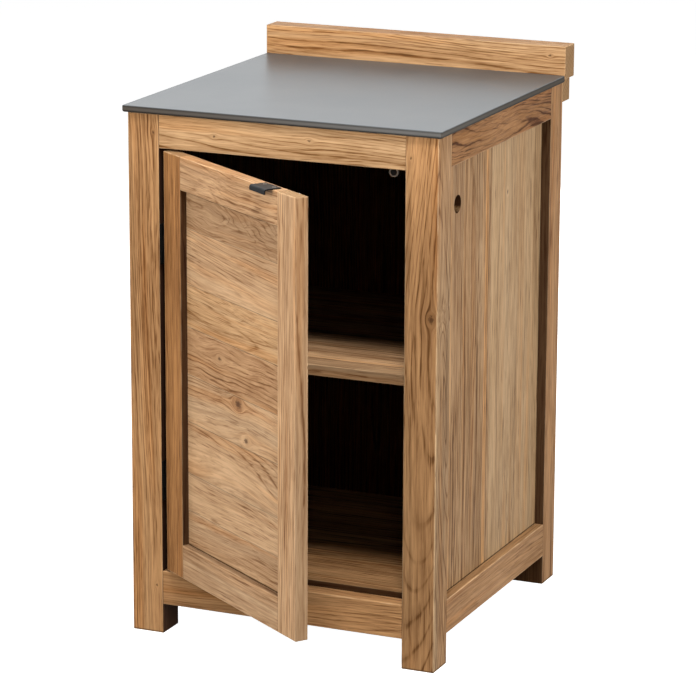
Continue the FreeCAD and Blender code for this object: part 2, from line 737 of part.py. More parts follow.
posts = make_posts()
rails = make_rails()
boards = make_side_boards()
make_back_panel()
make_shelf_and_floor()
make_cleats(boards, rails)
make_worktop()
make_splash(posts)
door = make_door()
hinge_heights = ("(door_bottom + hinge_end_distance + hinge_height / 2)",
                 "(door_top - hinge_end_distance - hinge_height / 2)")
for level, centre, first in (("lower", hinge_heights[0], 1), ("upper", hinge_heights[1], 4)):
    make_hinge(level, centre, posts["front", "left"], door["door_hinge_stile"], first)
make_hinge_pins(hinge_heights)
make_catch(rails["front", "top"], door["door_free_stile"])
make_pull(door["door_top_rail"])
for group, screws in screw_groups.items():
    gather(group, screws)
doc.recompute()

for thing in doc.Objects:
    if "Invalid" in thing.State or "Error" in thing.State:
        raise RuntimeError(f"{thing.Name} did not recompute: {thing.State}")
for node in nodes:
    if node.Shape.isNull() or not node.Shape.isValid():
        raise RuntimeError(f"{node.Name} has no valid shape")
for node in nodes:
    node.Shape.exportStep(f"parts/{node.Name}.step")
print(len(nodes), "nodes written")
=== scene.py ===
import json
import math
import bpy
from mathutils import Matrix, Vector


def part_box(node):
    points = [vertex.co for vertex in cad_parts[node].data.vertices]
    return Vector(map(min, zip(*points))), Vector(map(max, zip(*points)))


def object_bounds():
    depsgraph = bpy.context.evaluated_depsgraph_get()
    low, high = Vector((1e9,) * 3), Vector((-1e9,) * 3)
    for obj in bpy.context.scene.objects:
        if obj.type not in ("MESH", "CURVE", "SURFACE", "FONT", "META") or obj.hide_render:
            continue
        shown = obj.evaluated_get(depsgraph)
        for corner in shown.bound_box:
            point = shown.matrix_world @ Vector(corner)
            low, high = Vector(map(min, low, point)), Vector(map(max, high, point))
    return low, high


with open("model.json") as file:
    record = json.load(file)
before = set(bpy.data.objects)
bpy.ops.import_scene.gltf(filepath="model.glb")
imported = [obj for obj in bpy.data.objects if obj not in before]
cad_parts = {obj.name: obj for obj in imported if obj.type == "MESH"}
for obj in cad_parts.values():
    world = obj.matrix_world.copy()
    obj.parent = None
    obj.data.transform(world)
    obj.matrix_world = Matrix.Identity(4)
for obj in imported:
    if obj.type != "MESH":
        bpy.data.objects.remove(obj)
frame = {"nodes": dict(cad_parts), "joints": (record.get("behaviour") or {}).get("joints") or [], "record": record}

nodes = frame["nodes"]
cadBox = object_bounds()
bpy.ops.object.select_all(action="DESELECT")
print("frame loaded:", len(nodes), "nodes")

millimetre = 0.001
white = (1, 1, 1, 1)
lengthWay, widthWay, depthWay = 0, 1, 2    # along the grain, across the face, into the depth
doorHinge = frame["joints"][0]
shutTurn = math.radians(-doorHinge["range_deg"][0])    # brings a door piece back to the shut door


def screenColour(red, green, blue):
    # a colour read off a screen, from 0 to 255, as the light it stands for
    return [((value / 255 + 0.055) / 1.055) ** 2.4 for value in (red, green, blue)] + [1]


# Helpers for node trees

def feed(tree, socket, value):
    # a socket takes another node's output or a plain value
    if isinstance(value, bpy.types.NodeSocket):
        tree.links.new(value, socket)
    else:
        socket.default_value = value


def addNode(tree, kind, inputs=None, **settings):
    node = tree.nodes.new(kind)
    for name, value in settings.items():
        setattr(node, name, value)
    for name, value in (inputs or {}).items():
        feed(tree, node.inputs[name], value)
    return node


def sums(tree, operation, *values):
    # one math node; every value is a number or a socket
    return addNode(tree, "ShaderNodeMath", dict(enumerate(values)), operation=operation).outputs[0]


def vectorSums(tree, operation, *values):
    return addNode(tree, "ShaderNodeVectorMath", dict(enumerate(values)), operation=operation).outputs[0]


def parts(tree, vector):
    return addNode(tree, "ShaderNodeSeparateXYZ", {0: vector}).outputs


def total(tree, *pairs):
    # adds up pairs of a socket and its share
    answer = None
    for socket, share in pairs:
        if answer is None:
            answer = sums(tree, "MULTIPLY", socket, share)
        else:
            answer = sums(tree, "MULTIPLY_ADD", socket, share, answer)
    return answer


def squaredLength(tree, first, second):
    return sums(tree, "ADD", sums(tree, "MULTIPLY", first, first), sums(tree, "MULTIPLY", second, second))


def smooth(tree, value, low, high, atLow=0.0, atHigh=1.0):
    # an eased step from low to high
    node = addNode(tree, "ShaderNodeMapRange", {"Value": value, "From Min": low, "From Max": high,
                                                "To Min": atLow, "To Max": atHigh},
                   interpolation_type="SMOOTHSTEP")
    return node.outputs["Result"]


def stretched(tree, place, along, over, shift):
    # the place with its grain direction and its cross directions scaled by themselves
    scaled = vectorSums(tree, "MULTIPLY", place, (along, over, over))
    return vectorSums(tree, "ADD", scaled, shift)


def noise(tree, place, scale=1.0, detail=2.0, output="Fac"):
    return addNode(tree, "ShaderNodeTexNoise", {"Vector": place, "Scale": scale, "Detail": detail}
                   ).outputs[output]


def centred(tree, socket, reach=1.0):
    # a noise value around nought
    return sums(tree, "MULTIPLY", sums(tree, "SUBTRACT", socket, 0.5), reach)


def clamped(tree, value):
    return addNode(tree, "ShaderNodeClamp", {"Value": value}).outputs[0]


def mixed(tree, factor, first, second, blend="MIX"):
    node = addNode(tree, "ShaderNodeMix", data_type="RGBA", blend_type=blend)
    for socket, value in ((node.inputs["Factor"], factor), (node.inputs[6], first),
                          (node.inputs[7], second)):
        feed(tree, socket, value)
    return node.outputs[2]


def ramp(tree, factor, stops, blend="LINEAR"):
    # stops are pairs of a place and a grey value or three values
    node = addNode(tree, "ShaderNodeValToRGB", {"Fac": factor})
    node.color_ramp.interpolation = blend
    while len(node.color_ramp.elements) < len(stops):
        node.color_ramp.elements.new(0.5)
    for element, (place, value) in zip(node.color_ramp.elements, stops):
        element.position = place
        element.color = (*value, 1) if isinstance(value, tuple) else (value, value, value, 1)
    return node.outputs["Color"]


def newMaterial(name):
    material = bpy.data.materials.new(name)
    material.use_nodes = True
    tree = material.node_tree
    return material, tree, tree.nodes["Principled BSDF"]


def coat(tree, surface, colour, roughness, height, strength, depth):
    # the surface takes its colour and roughness, and its bump in metres
    bump = addNode(tree, "ShaderNodeBump", {"Height": height, "Strength": strength, "Distance": depth})
    feed(tree, surface.inputs["Base Color"], colour)
    feed(tree, surface.inputs["Roughness"], roughness)
    feed(tree, surface.inputs["Normal"], bump.outputs[0])


def dress(node, material):
    node.data.materials.clear()
    node.data.materials.append(material)


# Teak: one group draws the wood of a log, and every piece is cut from its own place in a log.
# Each layer has its cycles in a metre along and over the grain. A window says between which two
# values the layer sets in, and its strength below and above them.
woodLayers = {
    "fibre": {"along": 15.0, "over": 400.0, "detail": 3.0},
    "breaks": {"along": 20.0, "over": 170.0, "window": (0.36, 0.62, 0.35, 1.0)},
    "boldness": {"along": 2.4, "over": 15.0, "detail": 1.5, "window": (0.34, 0.62, 0.2, 1.0)},
    "streak": {"along": 4.0, "over": 165.0},
    "band": {"along": 0.9, "over": 34.0, "detail": 1.0},
    "cloud": {"along": 5.0, "over": 13.0},
    "dash": {"along": 17.0, "over": 300.0, "detail": 1.0, "shift": 11.0, "window": (0.57, 0.7)},
    "dashPatch": {"along": 3.0, "over": 26.0, "detail": 1.0, "shift": 17.0,
                  "window": (0.4, 0.62, 0.15, 1.0)},
    "pore": {"along": 38.0, "over": 820.0, "detail": 1.0, "window": (0.6, 0.7)},
    "warmStreak": {"along": 1.3, "over": 41.0, "detail": 1.0, "shift": 31.0,
                   "window": (0.5, 0.72, 0.0, 0.5)},
    "greyStreak": {"along": 1.1, "over": 33.0, "detail": 1.0, "shift": 53.0,
                   "window": (0.5, 0.74, 0.0, 0.35)},
}
ringLine = [(0.0, 1.0), (0.07, 0.9), (0.16, 0.2), (0.5, 0.0), (0.86, 0.1), (0.97, 0.5), (1.0, 1.0)]
# the last colour is that of the dark bands, most of them painted shade
woodColours = {"oldOil": (58, 34, 20), "knot": (64, 36, 20), "endPale": (172, 136, 96),
               "endDark": (84, 54, 30), "wornArris": (228, 192, 150), "darkBandAndShade": (44, 21, 9)}
woodTints = {"warm": (1.12, 0.92, 0.7, 1), "grey": (0.88, 0.96, 1.06, 1)}
plainWood = {"tone": 0.3, "roughness": 0.56}    # planed and oiled, with no polish
endGrainShare, wornArrisShare = 0.85, 0.45
teakBump = {"strength": 0.4, "depth": 0.6 * millimetre}
# the wood is duller under the dark bands and the painted shade
shadeAndDarkBandDulls = 0.4
woodSockets = {
    "Vector": ("Place", "Grain", "Heart", "Half Size"),
    "Float": ("Rise", "Seed", "Ring Width", "Figure", "Sway", "Curl", "Dashes", "Streaks", "Tone", "Warmth",
              "Knot", "Shade"),
    "Color": ("Pale", "Brown"),
}


def drifted(tree, grain, seed, sway, curl):
    # the log sways over a metre and its grain curls over a hand's breadth
    bent = grain
    for along, over, detail, reach in ((1.7, 6.5, 1.0, sway), (8.0, 24.0, 2.0, curl)):
        drift = noise(tree, stretched(tree, grain, along, over, seed), 1.0, detail, "Color")
        drift = vectorSums(tree, "SUBTRACT", drift, (0.5, 0.5, 0.5))
        drift = addNode(tree, "ShaderNodeVectorMath", {0: drift, "Scale": reach}, operation="SCALE")
        bent = vectorSums(tree, "ADD", bent, drift.outputs[0])
    return bent


def ringLines(tree, bent, heart, rise, ringWidth, seed):
    # rings lie round the heart, which leans and rises through the piece
    at, lean = parts(tree, bent), parts(tree, heart)
    across = sums(tree, "ADD", at[1], sums(tree, "MULTIPLY_ADD", at[0], lean[0], lean[1]))
    deep = sums(tree, "ADD", at[2], sums(tree, "MULTIPLY_ADD", at[0], rise, lean[2]))
    radius = sums(tree, "SQRT", squaredLength(tree, across, deep))
    uneven = noise(tree, addNode(tree, "ShaderNodeCombineXYZ", {0: radius, 1: seed}).outputs[0], 26.0)
    rings = sums(tree, "ADD", sums(tree, "DIVIDE", radius, ringWidth), centred(tree, uneven, 5.0))
    return ramp(tree, sums(tree, "FRACT", rings), ringLine)


def woodLayer(tree, bent, seed, along, over, detail=2.0, shift=None, window=None):
    place = stretched(tree, bent, along, over, sums(tree, "ADD", seed, shift) if shift else seed)
    found = noise(tree, place, detail=detail)
    return smooth(tree, found, *window) if window else centred(tree, found)


def wornAndCut(tree, place, half, seed):
    # the arrises are worn in patches, and the end grain is where the piece was cut off
    inset = parts(tree, vectorSums(tree, "SUBTRACT", half, vectorSums(tree, "ABSOLUTE", place)))
    nearer = sums(tree, "MINIMUM", inset[0], inset[1])
    farther = sums(tree, "MAXIMUM", inset[0], inset[1])
    arris = sums(tree, "MAXIMUM", nearer, sums(tree, "MINIMUM", farther, inset[2]))
    patches = smooth(tree, noise(tree, stretched(tree, place, 24.0, 60.0, seed)), 0.38, 0.6, 0.3, 1.0)
    worn = sums(tree, "MULTIPLY", patches,
                smooth(tree, arris, 0.6 * millimetre, 2.6 * millimetre, 1.0, 0.0))
    return worn, smooth(tree, inset[0], 0.3 * millimetre, 0.9 * millimetre, 1.0, 0.0)


def makeTeakWood():
    group = bpy.data.node_groups.new("teakWood", "ShaderNodeTree")
    for kind, names in woodSockets.items():
        for name in names:
            group.interface.new_socket(name=name, in_out="INPUT", socket_type="NodeSocket" + kind)
    for name, kind in (("Color", "Color"), ("Roughness", "Float"), ("Height", "Float")):
        group.interface.new_socket(name=name, in_out="OUTPUT", socket_type="NodeSocket" + kind)
    given = addNode(group, "NodeGroupInput").outputs
    place, seed = given["Place"], given["Seed"]
    colours = {name: screenColour(*colour) for name, colour in woodColours.items()}
    bent = drifted(group, given["Grain"], seed, given["Sway"], given["Curl"])
    line = ringLines(group, bent, given["Heart"], given["Rise"], given["Ring Width"], seed)
    layers = {name: woodLayer(group, bent, seed, **settings) for name, settings in woodLayers.items()}
    fibre, streak, cloud, pore = (layers[name] for name in ("fibre", "streak", "cloud", "pore"))

    # ring lines fade in and out and break up into dashes, as planed teak shows them
    drawn = sums(group, "MULTIPLY", sums(group, "MULTIPLY", line, layers["breaks"]),
                 sums(group, "MULTIPLY", layers["boldness"], given["Figure"]))
    dash = sums(group, "MULTIPLY", layers["dash"], layers["dashPatch"])
    stripe = total(group, (streak, 1.4), (layers["band"], 0.75))
    striped = sums(group, "MULTIPLY", stripe, given["Streaks"])
    dashed = sums(group, "MULTIPLY", dash, given["Dashes"])
    tone = total(group, (drawn, 1.0), (fibre, 1.15), (striped, 1.0), (cloud, 0.45), (pore, 0.2),
                 (dashed, 1.0), (given["Tone"], 1.0))
    tone = sums(group, "ADD", tone, plainWood["tone"])
    wood = mixed(group, clamped(group, tone), given["Pale"], given["Brown"])
    wood = mixed(group, smooth(group, tone, 0.9, 1.6, 0.0, 0.55), wood, colours["oldOil"])
    warm = clamped(group, sums(group, "ADD", layers["warmStreak"], given["Warmth"]))
    wood = mixed(group, warm, wood, woodTints["warm"], "MULTIPLY")
    wood = mixed(group, layers["greyStreak"], wood, woodTints["grey"], "MULTIPLY")
    wood = mixed(group, given["Knot"], wood, colours["knot"])

    # end grain drinks more oil and shows its rings as arcs
    worn, cut = wornAndCut(group, place, given["Half Size"], seed)
    speck = centred(group, noise(group, stretched(group, place, 700.0, 700.0, seed)))
    ends = mixed(group, total(group, (line, 0.75), (speck, 0.8)), colours["endPale"], colours["endDark"])
    wood = mixed(group, sums(group, "MULTIPLY", cut, endGrainShare), wood, ends)
    wood = mixed(group, sums(group, "MULTIPLY", worn, wornArrisShare), wood, colours["wornArris"])
    # painted shade: the Shade mask darkens the wood in recesses, gaps and under rails, and along some dark bands
    wood = mixed(group, given["Shade"], wood, colours["darkBandAndShade"])

    roughness = total(group, (drawn, 0.14), (fibre, 0.4), (cloud, 0.25), (cut, 0.12), (worn, -0.06))
    roughness = sums(group, "ADD", roughness, plainWood["roughness"])
    height = total(group, (drawn, -0.5), (fibre, 0.6), (pore, -0.7), (dash, -0.4), (streak, 0.3),
                   (given["Knot"], -0.4))
    addNode(group, "NodeGroupOutput", {"Color": wood, "Roughness": roughness, "Height": height})
    return group


teakWood = makeTeakWood()

axisOf = {"x": Vector((1, 0, 0)), "y": Vector((0, 1, 0)), "z": Vector((0, 0, 1))}


def ownAxes(node, grain, over, swings):
    # turns the object's axes to along the grain, across the face and into the depth
    along, across = axisOf[grain], axisOf[over]
    axes = Matrix((along, across, along.cross(across)))
    if swings:
        axes = axes @ Matrix.Rotation(shutTurn, 3, "Z")
    places = [axes @ vertex.co for vertex in node.data.vertices]
    low = Vector([min(place[way] for place in places) for way in range(3)])
    high = Vector([max(place[way] for place in places) for way in range(3)])
    return axes, (low + high) / 2, (high - low) / 2


# a knot is longer along the grain, and its heart and its rim are shares of its size
knotShape = {"longer": 1.6, "heart": 0.1, "rim": 0.6, "darkest": 0.75, "ragged": (0.5, 1.7)}


def flowRoundKnot(tree, place, along, across, size):
    # the grain parts round a knot as water does round a stone, and the knot's heart is dark
    at = parts(tree, place)
    aside = sums(tree, "SUBTRACT", at[1], across)
    ahead = sums(tree, "DIVIDE", sums(tree, "SUBTRACT", at[0], along), knotShape["longer"])
    square = squaredLength(tree, aside, ahead)
    outer = sums(tree, "MAXIMUM", square, size * size)
    kept = sums(tree, "SUBTRACT", 1.0, sums(tree, "DIVIDE", size * size, outer))
    bentOver = sums(tree, "MULTIPLY_ADD", aside, kept, across)
    bent = addNode(tree, "ShaderNodeCombineXYZ", {0: at[0], 1: bentOver, 2: at[2]}).outputs[0]
    rough = noise(tree, stretched(tree, place, 260.0, 420.0, (along, across, size)))
    ragged = sums(tree, "MULTIPLY", square, smooth(tree, rough, 0.35, 0.65, *knotShape["ragged"]))
    knot = smooth(tree, ragged, (knotShape["heart"] * size) ** 2, (knotShape["rim"] * size) ** 2,
                  knotShape["darkest"], 0.0)
    return bent, knot


def staveTones(tree, across, centre, half, staves, joint, seed):
    # each stave has its own tone and warmth and its own wood, with a thin dark joint between two
    width = 2 * half
    share = sums(tree, "MULTIPLY_ADD", across, 1 / width, 0.5)
    edges = [max(0.0, (edge - centre) / width + 0.5) for edge, tone, warmth in staves]
    found = ramp(tree, share, [(edge, (0.5 + tone, warmth, 0))
                               for edge, (start, tone, warmth) in zip(edges, staves)], "CONSTANT")
    found = addNode(tree, "ShaderNodeSeparateColor", {0: found}).outputs
    seedHere = sums(tree, "MULTIPLY_ADD", found[0], 37.0, seed)
    tone = sums(tree, "SUBTRACT", found[0], 0.5)
    if joint:
        dark = [(0.0, 0.0)]
        for edge in edges[1:]:
            dark += [(edge - joint / width, 0.0), (edge, 1.0), (edge + joint / width, 0.0)]
        tone = total(tree, (tone, 1.0), (ramp(tree, share, dark), 0.9))
    return tone, found[1], seedHere


# the tones that sawn teak has, from its pale wood to its dark lines
teakTones = {
    "golden": {"pale": (226, 182, 134), "brown": (140, 96, 54)},
    "tan": {"pale": (214, 174, 132), "brown": (140, 100, 66)},
    "brown": {"pale": (204, 155, 106), "brown": (118, 78, 44)},
    "red": {"pale": (196, 140, 86), "brown": (104, 62, 30)},
    "grey": {"pale": (208, 172, 130), "brown": (120, 86, 54)},
}

# light scales a piece's wood colours: partly its own tone, partly painted light for how much lamp light the piece
# takes
teakFinish = {
    "tones": "brown", "light": 1.0, "tone": 0.0, "warmth": 0.0, "gloss": 0.22,
    "fade": 0.0,    # darker towards the top or the right end, or paler where it is below nought
    "ringWidth": 0.006, "heart": (0.01, 0.06, 0.05), "rise": 0.0, "tilt": 0.0,
    "figure": 1.0, "dashes": 0.5, "streaks": 0.8, "sway": 0.03, "curl": 0.004,
    "knots": (),    # each one's place along and across from the piece's middle, and its size
    "staves": (), "staveWay": widthWay, "joint": 0.0012,
    "darkAt": (), "holes": (), "weathered": None,
}


def darkBandAndShade(way, side, width=0.0014, strength=0.86, inset=0.0, start=-1.0):
    # a dark band along this side, at an inset from it, from a start along the grain; most of these bands are
    # painted shade
    return (way, side, width, strength, inset, start)


def darkPlaces(tree, at, half, finish):
    # one mask for the dark bands, most of them painted shade, and for the painted shade in holes
    shade = 0.0
    for way, side, width, strength, inset, start in finish["darkAt"]:
        off = sums(tree, "ABSOLUTE", sums(tree, "SUBTRACT", at[way], side * (half[way] - inset)))
        dark = sums(tree, "MULTIPLY", smooth(tree, off, 0.4 * width, width, strength, 0.0),
                    smooth(tree, at[lengthWay], start - 2 * millimetre, start))
        shade = sums(tree, "MAXIMUM", shade, dark)
    for along, across, radius in finish["holes"]:
        # painted shade: the wall of a hole is dark, and browner low down at the back, where a crescent of painted
        # light falls
        upward = sums(tree, "SUBTRACT", at[lengthWay], along)
        rearward = sums(tree, "SUBTRACT", at[widthWay], across)
        off = sums(tree, "SQRT", squaredLength(tree, upward, rearward))
        lowBack = total(tree, (upward, -0.8 / radius), (rearward, 0.6 / radius))
        browner = smooth(tree, lowBack, 0.82, 0.97, 0.96, 0.5)
        wall = smooth(tree, off, radius + 0.1 * millimetre, radius + 0.9 * millimetre, 1.0, 0.0)
        shade = sums(tree, "MAXIMUM", shade, sums(tree, "MULTIPLY", wall, browner))
    return shade


def paleAndBrown(tree, at, half, finish):
    tones = teakTones[finish["tones"]]
    # the colours are scaled by light, partly painted light
    colours = [[value * finish["light"] for value in screenColour(*tones[kind])[:3]] + [1]
               for kind in ("pale", "brown")]
    if finish["weathered"]:
        # this side has gone grey, more so low down
        way, side, low, high, least = finish["weathered"]
        facing = smooth(tree, sums(tree, "MULTIPLY", at[way], side),
                        half[way] - 1.6 * millimetre, half[way] - 0.4 * millimetre)
        greyed = sums(tree, "MULTIPLY", facing, smooth(tree, at[lengthWay], low, high, 1.0, least))
        colours = [mixed(tree, greyed, colour, screenColour(*teakTones["grey"][kind]))
                   for kind, colour in zip(("pale", "brown"), colours)]
    return colours


def teak(name, grain, over, seed, swings=False, **changes):
    finish = {**teakFinish, **changes}
    material, tree, surface = newMaterial(name + "Teak")
    axes, centre, half = ownAxes(nodes[name], grain, over, swings)
    here = addNode(tree, "ShaderNodeTexCoord").outputs["Object"]
    place = addNode(tree, "ShaderNodeMapping", {"Vector": here, "Location": -centre,
                                                "Rotation": axes.to_euler()}).outputs[0]
    at = parts(tree, place)
    tone, warmth, seedHere = finish["tone"], finish["warmth"], seed
    if finish["staves"]:
        way = finish["staveWay"]
        tone, warmth, seedHere = staveTones(tree, at[way], centre[way], half[way], finish["staves"],
                                            finish["joint"], seed)
    if finish["fade"]:
        tone = sums(tree, "MULTIPLY_ADD", at[lengthWay], finish["fade"] / half[lengthWay], tone)
    lines, knot = place, 0.0
    for along, across, size in finish["knots"]:
        lines, found = flowRoundKnot(tree, lines, along, across, size)
        knot = sums(tree, "MAXIMUM", knot, found)
    tilt = (0, 0, math.radians(finish["tilt"]))
    lines = addNode(tree, "ShaderNodeMapping", {"Vector": lines, "Rotation": tilt}).outputs[0]
    shade = darkPlaces(tree, at, half, finish)
    pale, brown = paleAndBrown(tree, at, half, finish)
    wood = addNode(tree, "ShaderNodeGroup", {
        "Place": place, "Grain": lines, "Half Size": half, "Seed": seedHere, "Heart": finish["heart"],
        "Rise": finish["rise"], "Ring Width": finish["ringWidth"], "Figure": finish["figure"],
        "Sway": finish["sway"], "Curl": finish["curl"], "Dashes": finish["dashes"],
        "Streaks": finish["streaks"], "Tone": tone, "Warmth": warmth, "Knot": knot, "Shade": shade,
        "Pale": pale, "Brown": brown}, node_tree=teakWood).outputs
    duller = sums(tree, "MULTIPLY_ADD", shade, shadeAndDarkBandDulls, wood["Roughness"])
    coat(tree, surface, wood["Color"], duller, wood["Height"], teakBump["strength"], teakBump["depth"])
    surface.inputs["Specular IOR Level"].default_value = finish["gloss"]
    dress(nodes[name], material)


foot = darkBandAndShade(lengthWay, -1, 0.004, 0.6)    # along the bottom of a post
posts = {
    "front_left_post": {"seed": 3.1, "heart": (0.006, 0.065, 0.05), "tilt": 1.6, "tone": 0.12,
                        "figure": 0.85, "knots": [(0.438, 0.0186, 0.0036), (-0.382, 0.0176, 0.0036)],
                        # painted shade darkens its inner face, in the hinge gap and inside the leg
                        "darkAt": [foot, darkBandAndShade(widthWay, 1, strength=0.98, start=-0.36),
                                   darkBandAndShade(widthWay, 1, strength=0.94)]},
    "front_right_post": {"seed": 8.4, "heart": (-0.12, -0.03, -0.01), "rise": 0.1, "figure": 0.75,
                         "ringWidth": 0.008, "sway": 0.02, "tone": 0.13, "warmth": 0.06,
                         "knots": [(0.4325, -0.02, 0.003), (0.158, 0.019, 0.009)], "darkAt": [foot],
                         "weathered": (widthWay, 1, 0.1, 0.5, 0.4)},
    # painted shade makes this post darker towards the bottom, where less light falls
    "rear_right_post": {"seed": 12.9, "heart": (0.01, 0.07, 0.03), "figure": 0.9, "tone": 0.05,
                        "fade": -0.1, "darkAt": [foot, darkBandAndShade(depthWay, -1)]},
    "rear_left_post": {"seed": 17.2, "heart": (0.008, 0.06, 0.05), "darkAt": [foot]},
}
for name, wood in posts.items():
    teak(name, "z", "x", **wood)
print("posts dressed")

rails = {
    "front_top_rail": {"seed": 21.7, "heart": (0.05, 0.05, 0.034), "ringWidth": 0.0045,
                       "tones": "golden", "light": 0.8,
                       "knots": [(-0.1246, -0.0007, 0.004), (0.053, 0.006, 0.004)]},
    # painted light makes this rail paler, and a painted shadow of the open door darkens its left end
    "front_bottom_rail": {"seed": 25.3, "heart": (-0.05, 0.06, 0.04), "figure": 0.6, "dashes": 0.3,
                          "light": 1.2, "warmth": 0.1, "darkAt": [darkBandAndShade(lengthWay, -1, 0.3, 0.36)]},
    "rear_top_rail": {"seed": 29.9, "heart": (0.04, 0.06, 0.05)},
    "rear_bottom_rail": {"seed": 33.4, "heart": (-0.05, 0.06, 0.04)},
    "right_top_rail": {"seed": 38.6, "heart": (0.12, 0.0, 0.03), "figure": 2.2, "ringWidth": 0.005,
                       "curl": 0.016, "sway": 0.07, "tone": 0.05, "tones": "red", "light": 0.82},
    "right_bottom_rail": {"seed": 42.2, "heart": (0.03, 0.06, 0.05), "figure": 0.5, "light": 0.92,
                          "tone": 0.05},
    "left_top_rail": {"seed": 46.1, "heart": (-0.06, 0.05, 0.04)},
    "left_bottom_rail": {"seed": 49.8, "heart": (0.04, -0.06, 0.05)},
}
for name, wood in rails.items():
    teak(name, "y" if name.startswith(("left", "right")) else "x", "z", **wood)
print("rails dressed")

# the side boards are planed flat, with tonal stripes that run their full height
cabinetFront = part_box("front_right_post")[0].y


def stripes(*bands):
    # bands side by side: distance from the cabinet's front in millimetres, tone and warmth
    return [(cabinetFront + start * millimetre, tone, warmth) for start, tone, warmth in bands]


groove = 0.007    # how deep a board sits in its frame


def boardShadeAndJoints(number, count, lines):
    # painted shade where a board sits in its frame, and a dark joint where it meets the next one
    marks = [darkBandAndShade(lengthWay, -1, *lines["lowEnd"], groove), darkBandAndShade(lengthWay, 1, *lines["highEnd"], groove),
             darkBandAndShade(widthWay, -1, *lines["joint"]), darkBandAndShade(widthWay, 1, *lines["joint"])]
    if number in (1, count):
        marks.append(darkBandAndShade(widthWay, -1 if number == 1 else 1, *lines["outer"], groove))
    return marks


sideBoards = [
    {"seed": 54.3, "heart": (0.004, 0.09, 0.03), "ringWidth": 0.009, "fade": 0.13,
     "staves": stripes((0, 0.3, 0.3), (76, 0.2, 0.2), (99, -0.12, 0.5), (106, 0.24, 0.3),
                       (150, 0.1, 0.2))},
    {"seed": 57.7, "heart": (-0.006, 0.12, 0.05), "ringWidth": 0.008,
     "staves": stripes((0, 0.2, 0.4), (199, 0.12, 0.2), (222, 0.2, 0.2), (262, 0.0, 1.0),
                       (276, 0.16, 0.2))},
    {"seed": 61.6, "heart": (0.006, 0.05, 0.06), "ringWidth": 0.008, "figure": 0.5,
     "staves": stripes((0, -0.12, 0.0), (340, -0.05, 0.0), (400, 0.02, 0.0)),
     "knots": [(0.28, 0.01, 0.006)]},
    {"seed": 65.2, "heart": (0.005, -0.1, 0.06), "ringWidth": 0.007, "figure": 0.7,
     "staves": stripes((0, 0.02, 0.2), (455, -0.06, 0.0), (500, 0.04, 0.0))},
]
# the width and the strength of each dark line: painted shade at the ends and the outer edges, a dark joint between
# boards
sideLines = {"lowEnd": (0.0036, 0.8), "highEnd": (0.004, 0.5), "joint": (0.0014, 0.35),
             "outer": (0.0036, 0.7)}
leftSeedStep = 40    # the left side is cut from other logs
cableHole = next(mount for mount in frame["record"]["mounts"] if mount["name"] == "cable_hole")
low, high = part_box("right_side_board_1")
holePlace = (cableHole["pos_m"][2] - (low.z + high.z) / 2, cableHole["pos_m"][1] - (low.y + high.y) / 2,
             cableHole["dims"]["r_mm"] * millimetre)
for number, wood in enumerate(sideBoards, start=1):
    wood = {"tones": "grey", "streaks": 0.6, "joint": 0, **wood,
            "darkAt": boardShadeAndJoints(number, len(sideBoards), sideLines)}
    holes = [holePlace] if number == 1 else []
    teak(f"right_side_board_{number}", "z", "y", light=1.06, holes=holes, **wood)
    teak(f"left_side_board_{number}", "z", "y", **{**wood, "seed": wood["seed"] + leftSeedStep})

splash = {"seed": 71.5, "tones": "golden", "heart": (0.03, 0.05, 0.06), "ringWidth": 0.0055, "light": 0.8,
          "warmth": 0.2, "knots": [(0.268, 0.012, 0.004)]}
teak("splash_board", "x", "z", **splash)
teak("splash_batten", "x", "z", seed=75.8)

doorFrame = {
    "door_hinge_stile": {"grain": "z", "over": "x", "seed": 81.4, "heart": (0.008, 0.06, 0.03),
                         "tones": "red", "ringWidth": 0.003, "light": 0.93, "fade": -0.08,
                         "staves": [(-1, 0.26, 0.3), (-0.207, 0.1, 0.1), (-0.19, 0.0, 0.0)],
                         "joint": 0, "darkAt": [darkBandAndShade(widthWay, 1)]},
    # painted shade darkens the free stile's outer edge
    "door_free_stile": {"grain": "z", "over": "x", "seed": 85.9, "heart": (0.004, 0.07, 0.05),
                        "tones": "tan", "figure": 0.9, "dashes": 0.4, "light": 1.15,
                        "darkAt": [darkBandAndShade(widthWay, 1, 0.0012, 0.4)]},
    # painted shade darkens the top rail's lower edge over the boards
    "door_top_rail": {"grain": "x", "over": "z", "seed": 88.2, "heart": (0.05, 0.04, 0.04),
                      "tones": "tan", "sway": 0.06, "curl": 0.009, "figure": 0.65, "light": 0.98,
                      "staves": [(-1, 0.0, 0.0), (-0.0735, 0.08, 0.15)], "staveWay": lengthWay,
                      "joint": 0.0008, "darkAt": [darkBandAndShade(widthWay, -1, strength=0.7)]},
    # painted shade darkens the bottom rail's upper edge under the boards
    "door_bottom_rail": {"grain": "x", "over": "z", "seed": 92.7, "heart": (-0.04, 0.05, 0.05),
                         "tones": "tan", "tone": 0.16, "light": 0.97,
                         "darkAt": [darkBandAndShade(widthWay, 1, strength=0.5)]},
}
for name, wood in doorFrame.items():
    teak(name, swings=True, **wood)

